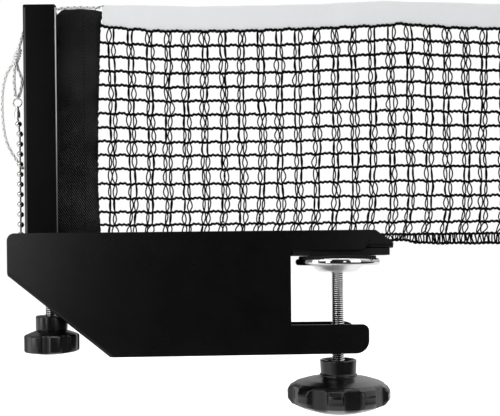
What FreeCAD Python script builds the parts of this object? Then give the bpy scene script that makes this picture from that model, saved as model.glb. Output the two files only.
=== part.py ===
import FreeCAD, Part

import math
import os
import re

import Sketcher

# Table tennis net clamp, in millimetres.
# Z = 0 is the playing surface and X = 0 the edge of the table top, which stands on the +X side.
# Y = 0 is the middle of the bracket, and -Y is the side that the photograph shows.

SIZES = {
    # bracket plates
    "plate_sheet": 2.0,
    "plate_gap": 22.0,
    "bracket_left": -170.4,
    "bracket_top": 15.2,
    "bracket_foot": -60.0,
    "arm_foot": -59.1,
    "slope_top": -10.7,
    "slope_end": -109.6,
    "corner_round": 4.5,
    "fold_round": 2.5,
    "fold_inset": 1.0,
    "throat_floor": -41.6,
    "throat_round": 1.0,
    "jaw_edge": 3.1,
    "jaw_end": 46.4,
    "jaw_round": 5.0,
    "arm_end": 46.7,
    "arm_round_top": 4.0,
    "arm_round_foot": 8.0,
    "rear_arm_shorter": 4.0,
    "rear_round": 8.0,
    # upper jaw
    "trough_sheet": 1.5,
    "trough_start": -30.0,
    "trough_tip": 62.1,
    "trough_shoulder": 51.6,
    "trough_tip_top": 7.4,
    "trough_bend": 2.2,
    "jaw_pad_thick": 4.2,
    "jaw_pad_start": 0.9,
    "jaw_pad_end": 60.4,
    "jaw_pad_side": 0.2,
    "jaw_pad_round": 3.0,
    # lower arm
    "arm_web_drop": 0.5,
    "arm_web_sheet": 2.0,
    "arm_web_start": -12.0,
    "arm_web_end": 37.0,
    "arm_flange": 12.0,
    "stop_sheet": 2.0,
    "nut_flats": 13.0,
    "nut_high": 10.0,
    "nut_hole_clear": 0.5,
    # clamp screw and its foot
    "screw_place": 29.4,
    "screw_radius": 3.9,
    "thread_clear": 0.05,
    "screw_neck": 2.75,
    "screw_head": 5.0,
    "screw_head_top": -3.8,
    "screw_head_foot": -7.3,
    "thread_top": -10.2,
    "screw_foot": -86.0,
    "foot_gap": 0.3,
    "pad_thick": 1.6,
    "pad_radius": 23.75,
    "pad_edge": 0.4,
    "disc_radius": 25.75,
    "disc_high": 4.2,
    "disc_sheet": 1.5,
    "disc_round": 2.4,
    "cup_radius": 18.0,
    "cup_sheet": 1.2,
    "cup_deep": 6.4,
    "cup_belly": 14.4,
    "cup_belly_deep": 3.5,
    "cup_hole": 3.15,
    # large knob
    "knob_top": -65.2,
    "knob_collar": 11.4,
    "knob_collar_foot": 10.7,
    "knob_collar_high": 9.3,
    "knob_recess": 9.6,
    "knob_recess_deep": 1.2,
    "knob_groove": 9.9,
    "knob_groove_high": 1.4,
    "knob_radius": 31.6,
    "knob_shoulder": 12.0,
    "knob_dome": 4.2,
    "knob_rim": 12.2,
    "knob_rim_round": 3.0,
    "knob_belly": 1.8,
    "knob_scallops": 9,
    "knob_scallop_deep": 2.5,
    "knob_scallop_round": 10.8,
    "knob_scallop_turn": 15.7,
    "insert_flats": 13.0,
    "insert_high": 6.5,
    # height screw
    "height_place": -147.35,
    "height_radius": 3.9,
    "height_foot": -53.0,
    "journal_radius": 2.5,
    "journal_clear": 0.05,
    "shoulder_gap": 0.15,
    "journal_end": 1.7,
    "clip_radius": 3.25,
    "clip_thick": 0.8,
    "web_hole": 10.2,
    # small knob
    "small_top": -35.1,
    "small_collar": 9.6,
    "small_collar_high": 8.7,
    "small_groove": 8.9,
    "small_groove_high": 0.5,
    "small_shoulder": 10.0,
    "small_dome": 2.3,
    "small_radius": 16.6,
    "small_rim": 10.6,
    "small_bevel": 0.8,
    "small_belly": 1.8,
    "small_scallops": 8,
    "small_scallop_deep": 1.2,
    "small_scallop_round": 5.2,
    # threaded block and guides
    "block_top": -7.0,
    "block_high": 6.0,
    "guide_sheet": 2.0,
    "guide_clear": 0.3,
    "guide_outer_top": 4.2,
    "guide_outer_foot": -11.5,
    "guide_inner_top": 4.0,
    # post
    "post_place": -150.3,
    "post_wide": 20.4,
    "post_side_clear": 0.3,
    "post_sheet": 1.5,
    "post_bend": 2.0,
    "post_top": 153.4,
    "post_foot_place": -5.0,
    "post_lip_round": 1.5,
    "cord_hole": 3.2,
    "cord_hole_place": 146.4,
    "foot_high": 14.0,
    "foot_inset": 0.2,
    # net rod
    "rod_radius": 2.0,
    "rod_clear": 0.1,
    "rod_place": -143.4,
    "net_plane": -4.0,
    "rod_socket": 6.0,
    "hanger_top": 150.0,
    "hanger_sheet": 1.5,
    "hanger_reach": 3.6,
    "hanger_side": 2.5,
    # chain and its catch
    "catch_reach": 8.2,
    "catch_sheet": 1.2,
    "catch_wide": 10.0,
    "catch_top": 12.5,
    "catch_shelf": 1.4,
    "catch_leg": 6.5,
    "catch_slot": 1.8,
    "catch_slot_deep": 3.4,
    "chain_place": -165.8,
    "bead_radius": 2.0,
    "bead_waist": 1.25,
    "bead_pitch": 6.22,
    "bead_first": 2.4,
    "beads": 14,
    "link_radius": 0.6,
    "bell_foot": 87.0,
    "bell_high": 5.6,
    "bell_radius": 1.75,
    "bell_top": 1.1,
    "bell_tab": 3.2,
    "bell_tab_thick": 1.0,
    "ring_radius": 2.6,
    "ring_wire": 0.5,
    "ring_drop": 1.25,
    # cord
    "cord_radius": 1.0,
    "knot_radius": 2.0,
    "end_knot_radius": 1.7,
    "hitch_radius": 1.7,
    # net
    "sleeve_thick": 2.4,
    "sleeve_pocket": 3.0,
    "sleeve_edge": -114.5,
    "sleeve_foot": 11.4,
    "sleeve_top": 152.2,
    "sleeve_notch": 3.0,
    "sleeve_pocket_top": 148.2,
    "hem_foot": 7.3,
    "hem_high": 5.6,
    "hem_thick": 2.0,
    "tape_foot": 138.0,
    "tape_high": 15.5,
    "tape_thick": 2.4,
    "mesh_thick": 1.0,
    "mesh_first": -107.9,
    "mesh_pitch": 11.4,
    "mesh_strand": 3.4,
    "mesh_thread": 1.3,
    "mesh_columns": 21,
    "mesh_rows": 13,
    "far_sleeve_wide": 26.0,
    "far_sleeve_thick": 3.0,
}

doc = FreeCAD.newDocument("net_clamp")
dim = doc.addObject("Spreadsheet::Sheet", "Dim")
for row, (alias, value) in enumerate(SIZES.items(), start=1):
    dim.set(f"A{row}", alias)
    dim.set(f"B{row}", str(value))
    dim.setAlias(f"B{row}", alias)
doc.recompute()

V = FreeCAD.Vector
pieces = []


def bound(text):
    """An expression whose size names point into the sheet."""
    return re.sub(r"[a-z_]+", lambda m: f"Dim.{m[0]}" if m[0] in SIZES else m[0], str(text))


def number(text):
    """What an expression over the sheet comes to."""
    return float(dim.evalExpression(bound(text)))


def body(label, **place):
    """A new body, moved by expressions such as x="screw_place"."""
    piece = doc.addObject("PartDesign::Body", label)
    piece.Label = label
    for axis, text in place.items():
        piece.setExpression(f"Placement.Base.{axis}", bound(text))
    pieces.append(piece)
    return piece


def solid(label, shape):
    """A sub-part whose shape is worked out below from the sheet's sizes."""
    piece = doc.addObject("Part::Feature", label)
    piece.Label = label
    piece.Shape = shape
    pieces.append(piece)
    return piece


def origin(piece, role):
    """One of a body's own origin planes or axes."""
    return next(o for o in piece.Origin.OriginFeatures if o.Role == role)


def sketch(piece, plane, height="0"):
    """An empty sketch on a body's origin plane, that far along the plane's normal."""
    made = piece.newObject("Sketcher::SketchObject", f"{piece.Label}_sketch")
    made.AttachmentSupport = [(origin(piece, plane), "")]
    made.MapMode = "FlatFace"
    made.setExpression("AttachmentOffset.Base.z", bound(height))
    return made


def hold(made, kind, text, *where):
    """A dimension of a sketch that follows an expression."""
    index = made.addConstraint(Sketcher.Constraint(kind, *where, number(text)))
    made.setExpression(f"Constraints[{index}]", bound(text))


def pin_point(made, shape, end, x, y):
    hold(made, "DistanceX", x, -1, 1, shape, end)
    hold(made, "DistanceY", y, -1, 1, shape, end)


def outline(made, corners):
    """A closed outline through corners (x, y), or (x, y, radius) where a corner is rounded."""
    at = [V(number(c[0]), number(c[1]), 0) for c in corners]
    count = len(corners)
    radius = [number(c[2]) if len(c) > 2 else 0.0 for c in corners]
    enter, leave, turn = [], [], []
    for i, here in enumerate(at):
        before = (here - at[i - 1]).normalize()
        after = (at[(i + 1) % count] - here).normalize()
        side = before.x * after.y - before.y * after.x
        bend = math.atan2(side, before.dot(after))
        back = radius[i] * math.tan(abs(bend) / 2)
        enter.append(here - before * back)
        leave.append(here + after * back)
        turn.append((bend, before))
    lines = [
        made.addGeometry(Part.LineSegment(leave[i], enter[(i + 1) % count]), False)
        for i in range(count)
    ]
    for i, corner in enumerate(corners):
        came, goes = lines[i - 1], lines[i]
        if not radius[i]:
            made.addConstraint(Sketcher.Constraint("Coincident", came, 2, goes, 1))
            pin_point(made, goes, 1, corner[0], corner[1])
            continue
        bend, before = turn[i]
        left = V(-before.y, before.x, 0) * math.copysign(1, bend)
        centre = enter[i] + left * radius[i]
        ends = [math.atan2(p.y - centre.y, p.x - centre.x) for p in (enter[i], leave[i])]
        first, last = (1, 2) if bend > 0 else (2, 1)
        circle = Part.Circle(centre, V(0, 0, 1), radius[i])
        arc = made.addGeometry(Part.ArcOfCircle(circle, *(ends if bend > 0 else ends[::-1])), False)
        made.addConstraint(Sketcher.Constraint("Tangent", came, 2, arc, first))
        made.addConstraint(Sketcher.Constraint("Tangent", arc, last, goes, 1))
        hold(made, "Radius", corner[2], arc)
        point = made.addGeometry(Part.Point(at[i]), True)
        made.addConstraint(Sketcher.Constraint("PointOnObject", point, 1, came))
        made.addConstraint(Sketcher.Constraint("PointOnObject", point, 1, goes))
        pin_point(made, point, 1, corner[0], corner[1])


def ring(made, x, y, radius):
    """A circle whose centre and radius follow expressions."""
    centre = V(number(x), number(y), 0)
    shape = made.addGeometry(Part.Circle(centre, V(0, 0, 1), number(radius)), False)
    pin_point(made, shape, 3, x, y)
    hold(made, "Radius", radius, shape)


def hexagon(made, flats):
    """A hexagon about the sketch's origin, by its width across flats."""
    corners = []
    for i in range(6):
        turn = f"{60 * i} deg"
        reach = f"{flats} / sqrt(3)"
        corners.append((f"{reach} * cos({turn})", f"{reach} * sin({turn})"))
    outline(made, corners)


def feature(piece, kind, profile, **settings):
    made = piece.newObject(f"PartDesign::{kind}", f"{piece.Label}_{kind.lower()}")
    made.Profile = profile
    for name, value in settings.items():
        setattr(made, name, value)
    return made


def pad(piece, profile, length, side="One side"):
    made = feature(piece, "Pad", profile, SideType=side)
    made.setExpression("Length", bound(length))
    return made


def cut(piece, profile, length=None):
    """A pocket that goes against the sketch's normal, through everything if it has no length."""
    before = piece.Tip.Shape.Volume if piece.Tip else 0
    made = feature(piece, "Pocket", profile)
    if length is None:
        made.Type = "ThroughAll"
    else:
        made.setExpression("Length", bound(length))
    doc.recompute()
    if made.Shape.Volume > before - 1e-6:
        raise RuntimeError(f"{piece.Label}: a pocket cuts nothing")
    return made


def spin(piece, profile):
    made = feature(piece, "Revolution", profile, Angle=360)
    made.ReferenceAxis = (profile, ["V_Axis"])
    return made


def repeat(piece, kind, original, count, **settings):
    """A pattern of one feature, which becomes the body's tip."""
    made = piece.newObject(f"PartDesign::{kind}", f"{piece.Label}_pattern")
    made.Originals = [original]
    made.setExpression("Occurrences", bound(count))
    for name, value in settings.items():
        setattr(made, name, value)
    piece.Tip = made
    return made


def fillet(piece, radius, chosen):
    """Rounds the edges of a body that chosen(edge) picks."""
    doc.recompute()
    base = piece.Tip
    names = [f"Edge{i}" for i, e in enumerate(base.Shape.Edges, start=1) if chosen(e)]
    if not names:
        raise RuntimeError(f"{piece.Label}: no edge to round")
    made = piece.newObject("PartDesign::Fillet", f"{piece.Label}_fillet")
    made.Base = (base, names)
    made.setExpression("Radius", bound(radius))
    return made


def near(a, b):
    return abs(a - b) < 1e-4


# names for places that several pieces share
PLATE_FACE = "plate_gap / 2"
SLOPE = "(bracket_foot - slope_top) / (slope_end - bracket_left)"
SLOPE_RISE = f"plate_sheet * sqrt(1 + pow({SLOPE}; 2))"
JAW_TOP = "jaw_pad_thick"
TROUGH_FLOOR = "jaw_pad_thick + trough_sheet"
ARM_WEB_TOP = "throat_floor - arm_web_drop"
POST_OUTER = "post_place - post_wide / 2"
POST_INNER = "post_place + post_wide / 2"
POST_DEEP = "plate_gap - 2 * post_side_clear"
POST_CAVITY = "plate_gap / 2 - post_side_clear - post_sheet"
FOOT_TOP = "post_foot_place + foot_high"
DISC_TOP = "-foot_gap - pad_thick"
DISC_UNDER = "-foot_gap - pad_thick - disc_sheet"
CATCH_UNDER = "catch_top - catch_shelf"
HEM_TOP = "hem_foot + hem_high"
TAPE_TOP = "tape_foot + tape_high"
NET_END = "mesh_first + mesh_columns * mesh_pitch"


def plate_corners(arm_end, round_top, round_foot):
    """The outline that both side plates have, but for the end of the lower arm."""
    return [
        ("bracket_left", "slope_top"),
        ("slope_end", "bracket_foot"),
        (arm_end, "arm_foot", round_foot),
        (arm_end, "throat_floor", round_top),
        ("0", "throat_floor", "throat_round"),
        ("0", "jaw_edge", "throat_round"),
        ("jaw_end", "jaw_edge", "jaw_round"),
        ("jaw_end", "bracket_top"),
        ("bracket_left", "bracket_top", "corner_round"),
    ]


def make_front_plate():
    """Side plate whose slanted edge is folded back into a web between the two plates."""
    piece = body("front_plate")
    face = sketch(piece, "XZ_Plane", PLATE_FACE)
    outline(face, plate_corners("arm_end", "arm_round_top", "arm_round_foot"))
    pad(piece, face, "plate_sheet")
    web = sketch(piece, "XZ_Plane")
    start = "bracket_left + fold_inset"
    end = "slope_end - fold_inset"
    drop = f"fold_inset * {SLOPE}"
    outline(
        web,
        [
            (start, f"slope_top + {drop}"),
            (end, f"bracket_foot - {drop}"),
            (end, f"bracket_foot - {drop} + {SLOPE_RISE}"),
            (start, f"slope_top + {drop} + {SLOPE_RISE}"),
        ],
    )
    pad(piece, web, "plate_gap", "Symmetric")
    doc.recompute()
    passage = sketch(piece, "XY_Plane", "block_top - block_high")
    ring(passage, "height_place", "0", "web_hole")
    cut(piece, passage)
    outer = -number(f"{PLATE_FACE} + plate_sheet")
    low, high = number("bracket_foot"), number("slope_top")

    def along_fold(edge):
        box = edge.BoundBox
        return near(box.YMin, outer) and near(box.YMax, outer) and near(box.ZMin, low) and near(box.ZMax, high)

    fillet(piece, "fold_round", along_fold)


def make_rear_plate():
    piece = body("rear_plate")
    face = sketch(piece, "XZ_Plane", f"-{PLATE_FACE} - plate_sheet")
    outline(face, plate_corners("arm_end - rear_arm_shorter", "rear_round", "rear_round"))
    pad(piece, face, "plate_sheet")


def channel_corners(half, low, high, sheet, bend):
    """A U-shaped section, open upwards if high is above low and downwards if not."""
    inner = f"({half} - {sheet})"
    step = sheet if number(high) > number(low) else f"-{sheet}"
    return [
        (f"-{half}", low, bend),
        (half, low, bend),
        (half, high),
        (inner, high),
        (inner, f"{low} + {step}", f"{bend} - {sheet}"),
        (f"-{inner}", f"{low} + {step}", f"{bend} - {sheet}"),
        (f"-{inner}", high),
        (f"-{half}", high),
    ]


def make_jaw_channel():
    """Trough of bent sheet between the plates. Its sides slant down to the tip."""
    piece = body("jaw_channel")
    section = sketch(piece, "YZ_Plane", "trough_start")
    outline(
        section,
        channel_corners(PLATE_FACE, JAW_TOP, "bracket_top", "trough_sheet", "trough_bend"),
    )
    pad(piece, section, "trough_tip - trough_start")
    doc.recompute()
    slant = sketch(piece, "XZ_Plane", "-plate_gap")
    outline(
        slant,
        [
            ("trough_tip", "trough_tip_top"),
            ("trough_tip + trough_sheet", "trough_tip_top"),
            ("trough_tip + trough_sheet", "bracket_top + trough_sheet"),
            ("trough_shoulder", "bracket_top + trough_sheet"),
            ("trough_shoulder", "bracket_top"),
        ],
    )
    slanted = feature(piece, "Pocket", slant, Type="ThroughAll", Reversed=True)
    doc.recompute()
    if not slanted.Shape.Volume < slanted.BaseFeature.Shape.Volume - 1:
        raise RuntimeError("jaw_channel: the slant cuts nothing")


def make_jaw_pad():
    piece = body("jaw_pad")
    plan = sketch(piece, "XY_Plane")
    half = "(plate_gap / 2 - jaw_pad_side)"
    outline(
        plan,
        [
            ("jaw_pad_start", f"-{half}"),
            ("jaw_pad_end", f"-{half}", "jaw_pad_round"),
            ("jaw_pad_end", half, "jaw_pad_round"),
            ("jaw_pad_start", half),
        ],
    )
    pad(piece, plan, "jaw_pad_thick")


def make_edge_stop():
    """Upright web at the back of the throat, on which the table's edge stops."""
    piece = body("edge_stop")
    side = sketch(piece, "XZ_Plane")
    outline(
        side,
        [("-stop_sheet", ARM_WEB_TOP), ("0", ARM_WEB_TOP), ("0", "0"), ("-stop_sheet", "0")],
    )
    pad(piece, side, "plate_gap", "Symmetric")


def make_arm_channel():
    """Channel in the lower arm, open downwards, with a hole for the clamp screw."""
    piece = body("arm_channel")
    section = sketch(piece, "YZ_Plane", "arm_web_start")
    outline(
        section,
        channel_corners(
            PLATE_FACE,
            ARM_WEB_TOP,
            f"{ARM_WEB_TOP} - arm_web_sheet - arm_flange",
            "arm_web_sheet",
            "arm_web_sheet + throat_round",
        ),
    )
    pad(piece, section, "arm_web_end - arm_web_start")
    doc.recompute()
    passage = sketch(piece, "XY_Plane")
    ring(passage, "screw_place", "0", "screw_radius + nut_hole_clear")
    cut(piece, passage)


def make_clamp_nut():
    piece = body("clamp_nut", x="screw_place", z=f"{ARM_WEB_TOP} - arm_web_sheet - nut_high")
    flats = sketch(piece, "XY_Plane")
    hexagon(flats, "nut_flats")
    ring(flats, "0", "0", "screw_radius + thread_clear")
    pad(piece, flats, "nut_high")


def make_height_block():
    """Threaded block between the plates, as long as the space between the post's guides."""
    piece = body("height_block", x="post_place", z="block_top - block_high")
    plan = sketch(piece, "XY_Plane")
    long = "(post_wide / 2 + guide_clear)"
    outline(
        plan,
        [
            (f"-{long}", f"-{PLATE_FACE}"),
            (long, f"-{PLATE_FACE}"),
            (long, PLATE_FACE),
            (f"-{long}", PLATE_FACE),
        ],
    )
    ring(plan, "height_place - post_place", "0", "height_radius + thread_clear")
    pad(piece, plan, "block_high")


def make_post_guide(label, face, foot, top, inward):
    """Guide plate beside the post, with a bevelled upper edge that leads the post in."""
    piece = body(label)
    side = sketch(piece, "XZ_Plane")
    back = f"{face} {inward} guide_sheet"
    corners = [
        (face, foot),
        (face, f"{top} - guide_sheet / 2"),
        (f"{face} {inward} guide_sheet / 2", top),
        (back, top),
        (back, foot),
    ]
    outline(side, corners)
    pad(piece, side, "plate_gap", "Symmetric")


def make_post():
    """Post bent from sheet into a U that is open towards the net."""
    piece = body("post")
    plan = sketch(piece, "XY_Plane", "post_foot_place")
    half = f"({POST_DEEP}) / 2"
    inner_bend = "post_bend - post_sheet"
    outline(
        plan,
        [
            (POST_OUTER, f"-{half}", "post_bend"),
            (POST_INNER, f"-{half}"),
            (POST_INNER, f"-({POST_CAVITY})"),
            (f"{POST_OUTER} + post_sheet", f"-({POST_CAVITY})", inner_bend),
            (f"{POST_OUTER} + post_sheet", POST_CAVITY, inner_bend),
            (POST_INNER, POST_CAVITY),
            (POST_INNER, half),
            (POST_OUTER, half, "post_bend"),
        ],
    )
    pad(piece, plan, "post_top - post_foot_place")
    doc.recompute()
    hole = sketch(piece, "YZ_Plane", f"{POST_OUTER} + 2 * post_sheet")
    ring(hole, "0", "cord_hole_place", "cord_hole")
    cut(piece, hole, "3 * post_sheet")
    lip, top = number(POST_INNER), number("post_top")
    fillet(
        piece,
        "post_lip_round",
        lambda e: near(e.BoundBox.XMin, lip) and near(e.BoundBox.ZMin, top) and near(e.BoundBox.ZMax, top),
    )


def make_post_foot():
    """Block in the post's foot: a bore for the height screw's journal and a socket for the rod."""
    piece = body("post_foot")
    plan = sketch(piece, "XY_Plane", "post_foot_place")
    wall = f"{POST_OUTER} + post_sheet"
    lip = f"{POST_INNER} - foot_inset"
    outline(
        plan,
        [
            (wall, f"-({POST_CAVITY})", "post_bend"),
            (lip, f"-({POST_CAVITY})"),
            (lip, POST_CAVITY),
            (wall, POST_CAVITY, "post_bend"),
        ],
    )
    ring(plan, "height_place", "0", "journal_radius + journal_clear")
    pad(piece, plan, "foot_high")
    doc.recompute()
    socket = sketch(piece, "XY_Plane", FOOT_TOP)
    ring(socket, "rod_place", "net_plane", "rod_radius + rod_clear")
    cut(piece, socket, "rod_socket")


def make_rod_hanger():
    """Small plate across the post's top, from its rear wall to the rod."""
    piece = body("rod_hanger")
    plan = sketch(piece, "XY_Plane", "hanger_top - hanger_sheet")
    outline(
        plan,
        [
            ("rod_place - hanger_reach", f"net_plane - hanger_side", "hanger_side / 2"),
            ("rod_place + hanger_side", f"net_plane - hanger_side", "hanger_side / 2"),
            ("rod_place + hanger_side", POST_CAVITY),
            ("rod_place - hanger_reach", POST_CAVITY),
        ],
    )
    ring(plan, "rod_place", "net_plane", "rod_radius + rod_clear")
    pad(piece, plan, "hanger_sheet")


def make_net_rod():
    rod = doc.addObject("Part::Cylinder", "net_rod")
    rod.Label = "net_rod"
    rod.setExpression("Radius", bound("rod_radius"))
    rod.setExpression("Height", bound(f"hanger_top - ({FOOT_TOP} - rod_socket) - rod_clear"))
    rod.setExpression("Placement.Base.x", bound("rod_place"))
    rod.setExpression("Placement.Base.y", bound("net_plane"))
    rod.setExpression("Placement.Base.z", bound(f"{FOOT_TOP} - rod_socket + rod_clear"))
    pieces.append(rod)


def make_chain_catch():
    """Angle on the post's outer wall. A slot in its shelf takes the chain between two beads."""
    piece = body("chain_catch")
    side = sketch(piece, "XZ_Plane")
    tip = f"{POST_OUTER} - catch_reach"
    leg = f"{POST_OUTER} - catch_sheet"
    outline(
        side,
        [
            (POST_OUTER, "catch_top - catch_leg"),
            (POST_OUTER, "catch_top"),
            (tip, "catch_top"),
            (tip, CATCH_UNDER),
            (leg, CATCH_UNDER, "catch_sheet / 2"),
            (leg, "catch_top - catch_leg"),
        ],
    )
    pad(piece, side, "catch_wide", "Symmetric")
    doc.recompute()
    slot = sketch(piece, "XY_Plane", "catch_top")
    outline(
        slot,
        [
            (f"{tip} - catch_slot", "-catch_slot / 2"),
            (f"chain_place + catch_slot / 2", "-catch_slot / 2", "catch_slot / 2 - link_radius / 10"),
            (f"chain_place + catch_slot / 2", "catch_slot / 2", "catch_slot / 2 - link_radius / 10"),
            (f"{tip} - catch_slot", "catch_slot / 2"),
        ],
    )
    cut(piece, slot, "catch_shelf")


def make_ball_chain():
    """Beads on a wire: one bead turned, then repeated up the wire."""
    piece = body("ball_chain", x="chain_place", z="bead_first")
    wire = sketch(piece, "XY_Plane")
    ring(wire, "0", "0", "link_radius")
    pad(piece, wire, "bell_foot - bead_first + bell_radius")
    bead = sketch(piece, "XZ_Plane")
    outline(
        bead,
        [
            ("0", "-bead_radius"),
            ("bead_waist", "-bead_radius"),
            ("bead_radius", "-bead_waist / 2"),
            ("bead_radius", "bead_waist / 2"),
            ("bead_waist", "bead_radius"),
            ("0", "bead_radius"),
        ],
    )
    turned = spin(piece, bead)
    repeat(
        piece,
        "LinearPattern",
        turned,
        "beads",
        Direction=(origin(piece, "Z_Axis"), [""]),
        Mode="Spacing",
    ).setExpression("Offset", bound("bead_pitch"))


def make_bell_coupling():
    """Crimped bell over the end of the chain's wire, with a drilled tab for the ring."""
    piece = body("bell_coupling", x="chain_place", z="bell_foot")
    bell = sketch(piece, "XZ_Plane")
    bore = "(link_radius + thread_clear)"
    outline(
        bell,
        [
            (bore, "0"),
            ("bell_radius", "0"),
            ("bell_radius", "bell_high * 0.6"),
            ("bell_top", "bell_high * 0.9"),
            ("bell_top / 2", "bell_high"),
            ("0", "bell_high"),
            ("0", "bell_radius + thread_clear"),
            (bore, "bell_radius + thread_clear"),
        ],
    )
    spin(piece, bell)
    tab = sketch(piece, "YZ_Plane")
    outline(
        tab,
        [
            ("-bell_top", "bell_high * 0.8"),
            ("bell_top", "bell_high * 0.8"),
            ("bell_top", "bell_high * 0.8 + bell_tab", "bell_top * 0.9"),
            ("-bell_top", "bell_high * 0.8 + bell_tab", "bell_top * 0.9"),
        ],
    )
    pad(piece, tab, "bell_tab_thick", "Symmetric")
    doc.recompute()
    eye = sketch(piece, "YZ_Plane", "bell_tab_thick")
    ring(eye, "0", "bell_high + ring_drop", "ring_wire + thread_clear * 4")
    cut(piece, eye, "2 * bell_tab_thick")


def make_cord_ring():
    """Ring that stands upright in the tab's eye, with a six-sided wire."""
    piece = body("cord_ring", x="chain_place", z="bell_foot + bell_high + ring_drop + ring_radius")
    wire = sketch(piece, "XY_Plane")
    corners = []
    for i in range(6):
        turn = f"{60 * i} deg"
        corners.append((f"ring_radius + ring_wire * cos({turn})", f"ring_wire * sin({turn})"))
    outline(wire, corners)
    spin(piece, wire)


def scalloped(piece, radius, deep, curve, count, turned):
    """Cuts finger hollows round a knob's rim."""
    doc.recompute()
    plan = sketch(piece, "XY_Plane")
    reach = f"({radius} - {deep} + {curve})"
    ring(plan, f"{reach} * cos(({turned}) * 1 deg)", f"{reach} * sin(({turned}) * 1 deg)", curve)
    hollow = cut(piece, plan)
    repeat(
        piece,
        "PolarPattern",
        hollow,
        count,
        Axis=(origin(piece, "Z_Axis"), [""]),
        Angle=360,
    )


def make_clamp_knob():
    piece = body("clamp_knob", x="screw_place")
    profile = sketch(piece, "XZ_Plane")
    collar_foot = "knob_top - knob_collar_high"
    groove_foot = f"{collar_foot} - knob_groove_high"
    rim_top = f"{groove_foot} - knob_dome"
    rim_foot = f"{rim_top} - knob_rim"
    insert_foot = "knob_top - knob_recess_deep - insert_high - thread_clear"
    outline(
        profile,
        [
            ("screw_radius + thread_clear", insert_foot),
            ("insert_flats / sqrt(3) + thread_clear", insert_foot),
            ("insert_flats / sqrt(3) + thread_clear", "knob_top - knob_recess_deep"),
            ("knob_recess - knob_recess_deep / 2", "knob_top - knob_recess_deep"),
            ("knob_recess", "knob_top"),
            ("knob_collar - knob_recess_deep / 3", "knob_top"),
            ("knob_collar", "knob_top - knob_recess_deep / 3"),
            ("knob_collar_foot", collar_foot),
            ("knob_groove", f"{collar_foot} - knob_groove_high / 2"),
            ("knob_shoulder", groove_foot),
            ("knob_radius * 0.62", f"{groove_foot} - knob_dome * 0.2"),
            ("knob_radius * 0.86", f"{groove_foot} - knob_dome * 0.6"),
            ("knob_radius - knob_rim_round / 3", rim_top),
            ("knob_radius", f"{rim_top} - knob_rim_round / 2"),
            ("knob_radius", f"{rim_foot} + knob_rim_round * 0.7"),
            ("knob_radius - knob_rim_round / 2", rim_foot),
            ("0", f"{rim_foot} - knob_belly"),
            ("0", "screw_foot - thread_clear"),
            ("screw_radius + thread_clear", "screw_foot - thread_clear"),
        ],
    )
    spin(piece, profile)
    scalloped(
        piece,
        "knob_radius",
        "knob_scallop_deep",
        "knob_scallop_round",
        "knob_scallops",
        "knob_scallop_turn - 90",
    )


def make_clamp_insert():
    """Hexagonal steel insert in the knob's collar, round the screw."""
    piece = body("clamp_insert", x="screw_place", z="knob_top - knob_recess_deep - insert_high")
    flats = sketch(piece, "XY_Plane")
    hexagon(flats, "insert_flats")
    ring(flats, "0", "0", "screw_radius + thread_clear")
    pad(piece, flats, "insert_high")


def make_clamp_screw():
    """Threaded rod with a smooth neck and a domed head, which turns in the cup of the foot."""
    piece = body("clamp_screw", x="screw_place")
    profile = sketch(piece, "XZ_Plane")
    outline(
        profile,
        [
            ("0", "screw_foot"),
            ("screw_radius", "screw_foot"),
            ("screw_radius", "thread_top - (screw_radius - screw_neck)"),
            ("screw_neck", "thread_top"),
            ("screw_neck", "screw_head_foot"),
            ("screw_head * 0.8", "screw_head_foot"),
            ("screw_head", "screw_head_foot + screw_head * 0.2"),
            ("screw_head", "screw_head_top - screw_head * 0.2"),
            ("screw_head * 0.7", "screw_head_top"),
            ("0", "screw_head_top"),
        ],
    )
    spin(piece, profile)


def make_pressure_disc():
    """Pressed steel disc with a turned-down rim."""
    piece = body("pressure_disc", x="screw_place")
    profile = sketch(piece, "XZ_Plane")
    foot = f"{DISC_TOP} - disc_high"
    inner = "(disc_radius - disc_sheet)"
    outline(
        profile,
        [
            ("0", DISC_UNDER),
            (inner, DISC_UNDER),
            (inner, foot),
            ("disc_radius - disc_sheet / 3", foot),
            ("disc_radius", f"{foot} + disc_sheet / 3"),
            ("disc_radius", f"{DISC_TOP} - disc_round / 2"),
            ("disc_radius - disc_round / 2", DISC_TOP),
            ("0", DISC_TOP),
        ],
    )
    spin(piece, profile)


def make_swivel_cup():
    """Dished cap under the disc, which keeps the screw's head and lets it turn."""
    piece = body("swivel_cup", x="screw_place")
    profile = sketch(piece, "XZ_Plane")
    deep = f"{DISC_UNDER} - cup_deep"
    belly = f"{DISC_UNDER} - cup_belly_deep"
    outline(
        profile,
        [
            ("cup_radius", DISC_UNDER),
            ("cup_radius - cup_sheet", DISC_UNDER),
            ("cup_belly - cup_sheet / 2", f"{belly} + cup_sheet"),
            ("cup_hole", f"{deep} + cup_sheet"),
            ("cup_hole", deep),
            ("cup_belly", belly),
        ],
    )
    spin(piece, profile)


def make_disc_pad():
    piece = body("disc_pad", x="screw_place")
    profile = sketch(piece, "XZ_Plane")
    outline(
        profile,
        [
            ("0", DISC_TOP),
            ("pad_radius", DISC_TOP),
            ("pad_radius", "-foot_gap - pad_edge"),
            ("pad_radius - pad_edge", "-foot_gap"),
            ("0", "-foot_gap"),
        ],
    )
    spin(piece, profile)


def make_height_screw():
    """Threaded rod. Its thin upper end turns in the post's foot, and its shoulder lifts the foot."""
    piece = body("height_screw", x="height_place")
    profile = sketch(piece, "XZ_Plane")
    shoulder = "post_foot_place - shoulder_gap"
    top = f"{FOOT_TOP} + journal_end"
    outline(
        profile,
        [
            ("0", "height_foot"),
            ("height_radius", "height_foot"),
            ("height_radius", shoulder),
            ("journal_radius", shoulder),
            ("journal_radius", f"{top} - journal_radius / 5"),
            ("journal_radius * 0.8", top),
            ("0", top),
        ],
    )
    spin(piece, profile)


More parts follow.
